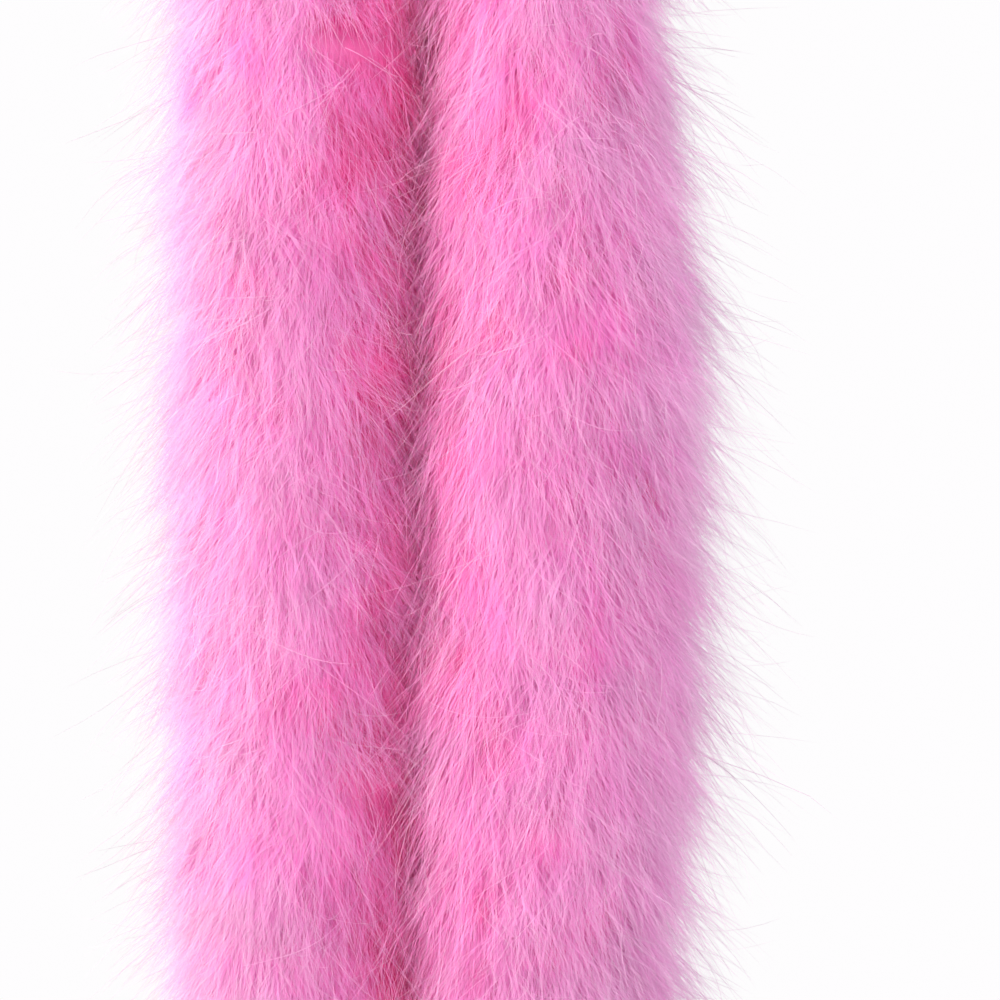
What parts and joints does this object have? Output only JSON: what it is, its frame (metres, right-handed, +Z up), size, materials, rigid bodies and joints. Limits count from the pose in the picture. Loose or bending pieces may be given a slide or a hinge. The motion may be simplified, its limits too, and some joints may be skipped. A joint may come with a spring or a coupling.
{
  "type": "feather boa",
  "caption": "Fluffy marabou feather boa hung round a neck: a plume-covered cord loop over the shoulders with straight falls in front that bend in sections.",
  "frame": {"origin": "centre of the neck opening, level with the core cord's middle height where it goes round the neck", "axes": "+Z up along the wearer's neck, -Y the way the wearer faces, where both falls hang, +X to the right as seen from in front, which is what left and right mean in the names"},
  "size_m": [0.3448, 0.3309, 0.8811],
  "materials": {
    "marabou_down": "soft dyed down, matt with a faint sheen",
    "core_cord": "twisted two-ply cotton",
    "binding_thread": "polyester sewing thread"
  },
  "bodies": {
    "neck_loop": {"core_neck": "core_cord", "plumes_nape": "marabou_down", "plumes_neck_left_1": "marabou_down", "plumes_neck_left_2": "marabou_down", "plumes_neck_left_3": "marabou_down", "plumes_neck_left_4": "marabou_down", "binding_thread_neck_left": "binding_thread", "plumes_neck_right_1": "marabou_down", "plumes_neck_right_2": "marabou_down", "plumes_neck_right_3": "marabou_down", "plumes_neck_right_4": "marabou_down", "binding_thread_neck_right": "binding_thread"},
    "fall_left_1": {"core_left_1": "core_cord", "plumes_left_1": "marabou_down", "binding_thread_left_1": "binding_thread"},
    "fall_left_2": {"core_left_2": "core_cord", "plumes_left_2": "marabou_down", "binding_thread_left_2": "binding_thread"},
    "fall_left_3": {"core_left_3": "core_cord", "plumes_left_3": "marabou_down", "binding_thread_left_3": "binding_thread"},
    "fall_left_4": {"core_left_4": "core_cord", "plumes_left_4": "marabou_down", "binding_thread_left_4": "binding_thread"},
    "fall_left_5": {"core_left_5": "core_cord", "plumes_left_5": "marabou_down", "binding_thread_left_5": "binding_thread", "end_whipping_left": "binding_thread", "end_knot_left": "core_cord", "cord_tails_left": "core_cord"},
    "fall_right_1": {"core_right_1": "core_cord", "plumes_right_1": "marabou_down", "binding_thread_right_1": "binding_thread"},
    "fall_right_2": {"core_right_2": "core_cord", "plumes_right_2": "marabou_down", "binding_thread_right_2": "binding_thread"},
    "fall_right_3": {"core_right_3": "core_cord", "plumes_right_3": "marabou_down", "binding_thread_right_3": "binding_thread"},
    "fall_right_4": {"core_right_4": "core_cord", "plumes_right_4": "marabou_down", "binding_thread_right_4": "binding_thread"},
    "fall_right_5": {"core_right_5": "core_cord", "plumes_right_5": "marabou_down", "binding_thread_right_5": "binding_thread", "end_whipping_right": "binding_thread", "end_knot_right": "core_cord", "cord_tails_right": "core_cord"}
  },
  "joints": [
    {"name": "left_swing_forward_1", "type": "hinge", "parent": "neck_loop", "child": "fall_left_1", "pos_m": [-0.061, -0.098, -0.1557], "axis": [-1, 0, 0], "range_deg": [-30, 30]},
    {"name": "left_swing_outward_2", "type": "hinge", "parent": "fall_left_1", "child": "fall_left_2", "pos_m": [-0.061, -0.098, -0.2757], "axis": [0, 1, 0], "range_deg": [0, 30]},
    {"name": "left_swing_forward_3", "type": "hinge", "parent": "fall_left_2", "child": "fall_left_3", "pos_m": [-0.061, -0.098, -0.3957], "axis": [-1, 0, 0], "range_deg": [-30, 30]},
    {"name": "left_swing_outward_4", "type": "hinge", "parent": "fall_left_3", "child": "fall_left_4", "pos_m": [-0.061, -0.098, -0.5157], "axis": [0, 1, 0], "range_deg": [0, 30]},
    {"name": "left_swing_forward_5", "type": "hinge", "parent": "fall_left_4", "child": "fall_left_5", "pos_m": [-0.061, -0.098, -0.6357], "axis": [-1, 0, 0], "range_deg": [-30, 30]},
    {"name": "right_swing_forward_1", "type": "hinge", "parent": "neck_loop", "child": "fall_right_1", "pos_m": [0.061, -0.098, -0.1557], "axis": [-1, 0, 0], "range_deg": [-30, 30]},
    {"name": "right_swing_outward_2", "type": "hinge", "parent": "fall_right_1", "child": "fall_right_2", "pos_m": [0.061, -0.098, -0.2757], "axis": [0, -1, 0], "range_deg": [0, 30]},
    {"name": "right_swing_forward_3", "type": "hinge", "parent": "fall_right_2", "child": "fall_right_3", "pos_m": [0.061, -0.098, -0.3957], "axis": [-1, 0, 0], "range_deg": [-30, 30]},
    {"name": "right_swing_outward_4", "type": "hinge", "parent": "fall_right_3", "child": "fall_right_4", "pos_m": [0.061, -0.098, -0.5157], "axis": [0, -1, 0], "range_deg": [0, 30]},
    {"name": "right_swing_forward_5", "type": "hinge", "parent": "fall_right_4", "child": "fall_right_5", "pos_m": [0.061, -0.098, -0.6357], "axis": [-1, 0, 0], "range_deg": [-30, 30]}
  ]
}
